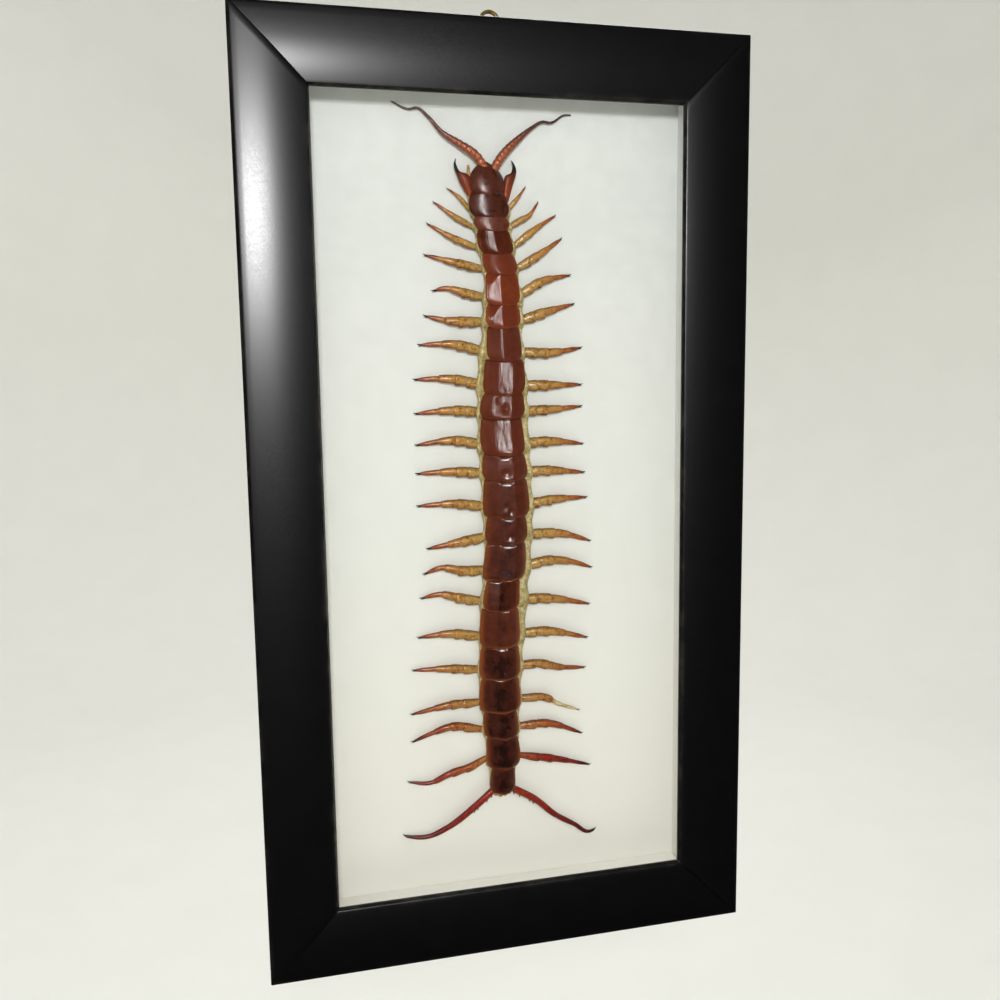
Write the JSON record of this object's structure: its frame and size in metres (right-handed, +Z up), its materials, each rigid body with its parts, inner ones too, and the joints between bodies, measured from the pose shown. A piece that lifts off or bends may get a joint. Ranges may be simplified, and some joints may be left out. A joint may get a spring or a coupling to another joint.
{
  "type": "framed giant centipede specimen",
  "caption": "Dried giant centipede mounted on white board behind glass in a mitred black wooden frame, with a brass eye at the top for hanging on a wall.",
  "frame": {"origin": "centre of the back panel's rear face, which lies against the wall", "axes": "+Z up along the frame's height, +X to the viewer's right, +Y into the wall, so the glass faces -Y"},
  "size_m": [0.193, 0.027, 0.3649],
  "materials": {
    "black_moulding": "satin black sprayed paint on wood",
    "picture_glass": "clear float glass",
    "white_card": "white paper-faced board",
    "dried_cuticle": "glossy dried cuticle, dark red-brown with amber legs",
    "hardboard": "smooth pressed wood fibre",
    "brass": "polished, slightly tarnished",
    "zinc_steel": "bright zinc plate"
  },
  "bodies": {
    "root": {"rail_top": "black_moulding", "rail_bottom": "black_moulding", "stile_left": "black_moulding", "stile_right": "black_moulding", "glass_pane": "picture_glass", "liner_top": "white_card", "liner_bottom": "white_card", "liner_left": "white_card", "liner_right": "white_card", "backing_board": "white_card", "centipede": "dried_cuticle", "back_panel": "hardboard", "panel_screw_1": "zinc_steel", "panel_screw_2": "zinc_steel", "panel_screw_3": "zinc_steel", "panel_screw_4": "zinc_steel", "panel_screw_5": "zinc_steel", "panel_screw_6": "zinc_steel", "hanging_plate": "brass", "plate_screw_1": "brass", "plate_screw_2": "brass"}
  },
  "joints": []
}
